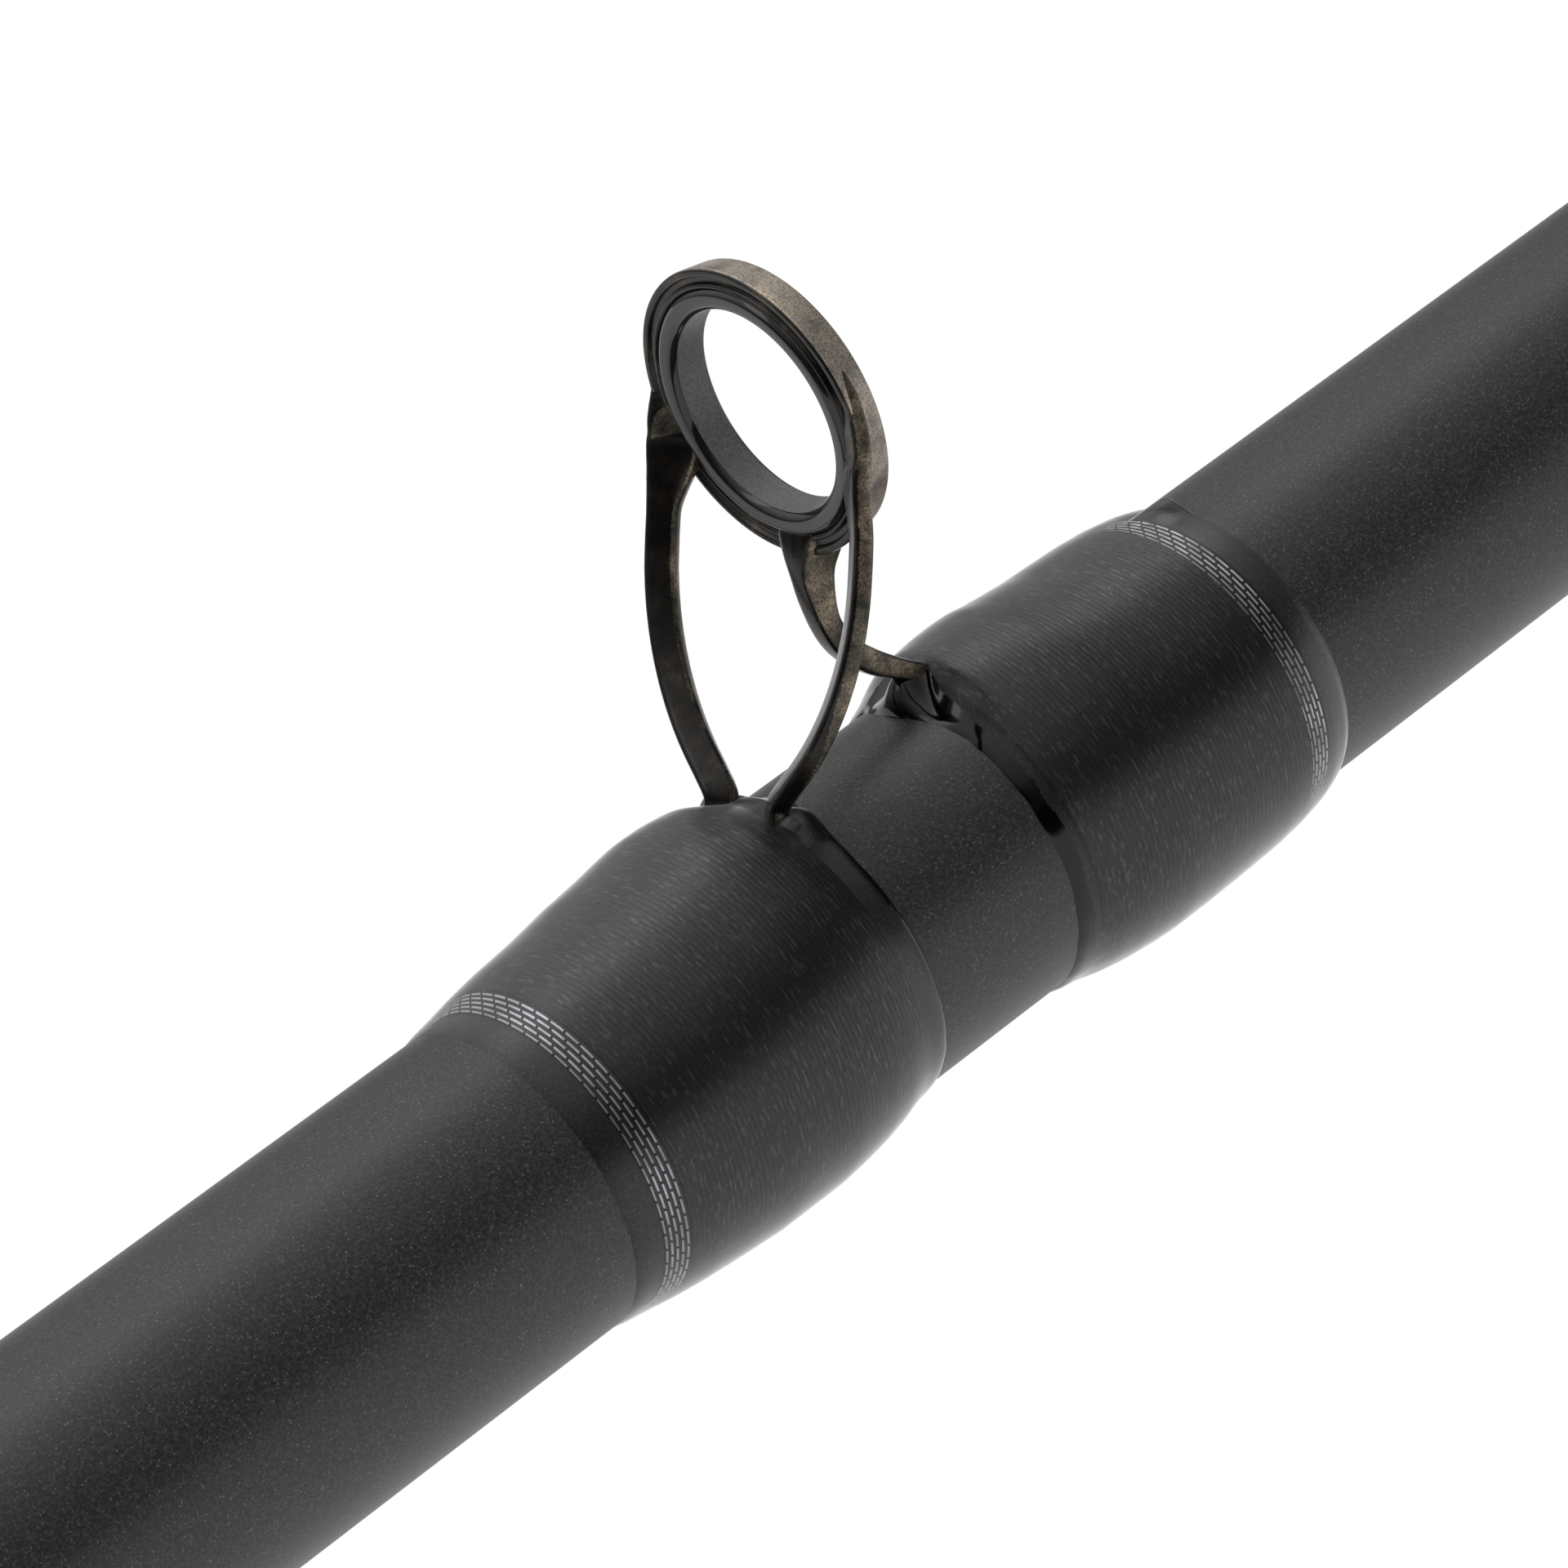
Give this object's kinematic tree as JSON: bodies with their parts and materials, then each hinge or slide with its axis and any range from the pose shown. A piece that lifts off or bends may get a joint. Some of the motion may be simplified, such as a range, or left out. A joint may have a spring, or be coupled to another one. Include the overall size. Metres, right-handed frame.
{
  "type": "spinning rod",
  "caption": "Two-piece spinning fishing rod with wrapped double-foot line guides, a screw-down reel seat, foam grips and a put-over ferrule.",
  "frame": {"origin": "centre of the butt cap's end face, on the blank's axis", "axes": "+X from butt to tip along the blank, +Z towards the guides and the reel foot, +Y to the left seen from the butt"},
  "size_m": [2.127, 0.0294, 0.0583],
  "materials": {
    "blank": "matte charcoal graphite composite with a fine sparkle",
    "guide_frame": "dark smoke gunmetal, polished",
    "ceramic": "polished black ceramic",
    "thread": "black nylon thread",
    "metallic_thread": "silver foil thread",
    "epoxy": "clear glossy epoxy",
    "foam": "black closed-cell foam",
    "rubber": "matt black rubber",
    "trim": "dark anodised, satin",
    "seat": "dark glass-filled nylon, satin",
    "hood": "dark glossy shell",
    "pad": "matt liner",
    "arbor": "rigid foam"
  },
  "bodies": {
    "butt_section": {"blank_butt": "blank", "butt_cap": "rubber", "butt_tipping": "metallic_thread", "fixed_hood": "hood", "fixed_hood_pad": "pad", "fore_grip": "foam", "fore_trim": "trim", "guide_1_epoxy": "epoxy", "guide_1_frame": "guide_frame", "guide_1_ring": "ceramic", "guide_1_thread": "thread", "guide_2_epoxy": "epoxy", "guide_2_frame": "guide_frame", "guide_2_ring": "ceramic", "guide_2_thread": "thread", "guide_3_epoxy": "epoxy", "guide_3_frame": "guide_frame", "guide_3_ring": "ceramic", "guide_3_thread": "thread", "keeper_epoxy": "epoxy", "keeper_thread": "thread", "keeper_wire": "guide_frame", "rear_grip": "foam", "rear_trim": "trim", "seat_arbors": "arbor", "seat_body": "seat", "winding_check": "rubber"},
    "tip_section": {"blank_tip": "blank", "tip_tipping": "metallic_thread", "ferrule_thread": "thread", "ferrule_epoxy": "epoxy", "tiptop_frame": "guide_frame", "tiptop_ring": "ceramic", "tiptop_thread": "thread", "tiptop_epoxy": "epoxy", "guide_4_frame": "guide_frame", "guide_4_ring": "ceramic", "guide_4_thread": "thread", "guide_4_epoxy": "epoxy", "guide_5_frame": "guide_frame", "guide_5_ring": "ceramic", "guide_5_thread": "thread", "guide_5_epoxy": "epoxy", "guide_6_frame": "guide_frame", "guide_6_ring": "ceramic", "guide_6_thread": "thread", "guide_6_epoxy": "epoxy", "guide_7_frame": "guide_frame", "guide_7_ring": "ceramic", "guide_7_thread": "thread", "guide_7_epoxy": "epoxy", "guide_8_frame": "guide_frame", "guide_8_ring": "ceramic", "guide_8_thread": "thread", "guide_8_epoxy": "epoxy"},
    "sliding_hood": {"sliding_hood": "hood", "sliding_hood_pad": "pad"},
    "lock_nut": {"lock_nut": "trim"}
  },
  "joints": [
    {"name": "ferrule_pull", "type": "slide", "parent": "butt_section", "child": "tip_section", "axis": [1, 0, 0], "range_m": [0, 0.075]},
    {"name": "hood_slide", "type": "slide", "parent": "butt_section", "child": "sliding_hood", "axis": [1, 0, 0], "range_m": [-0.012, 0.004]},
    {"name": "nut_turn", "type": "hinge", "parent": "sliding_hood", "child": "lock_nut", "pos_m": [0.3055, 0, 0], "axis": [1, 0, 0], "range_deg": [-2170, 730]}
  ],
  "couplings": [
    {"joint": "nut_turn", "follows": "hood_slide", "rad_per_m": 3141.6}
  ]
}
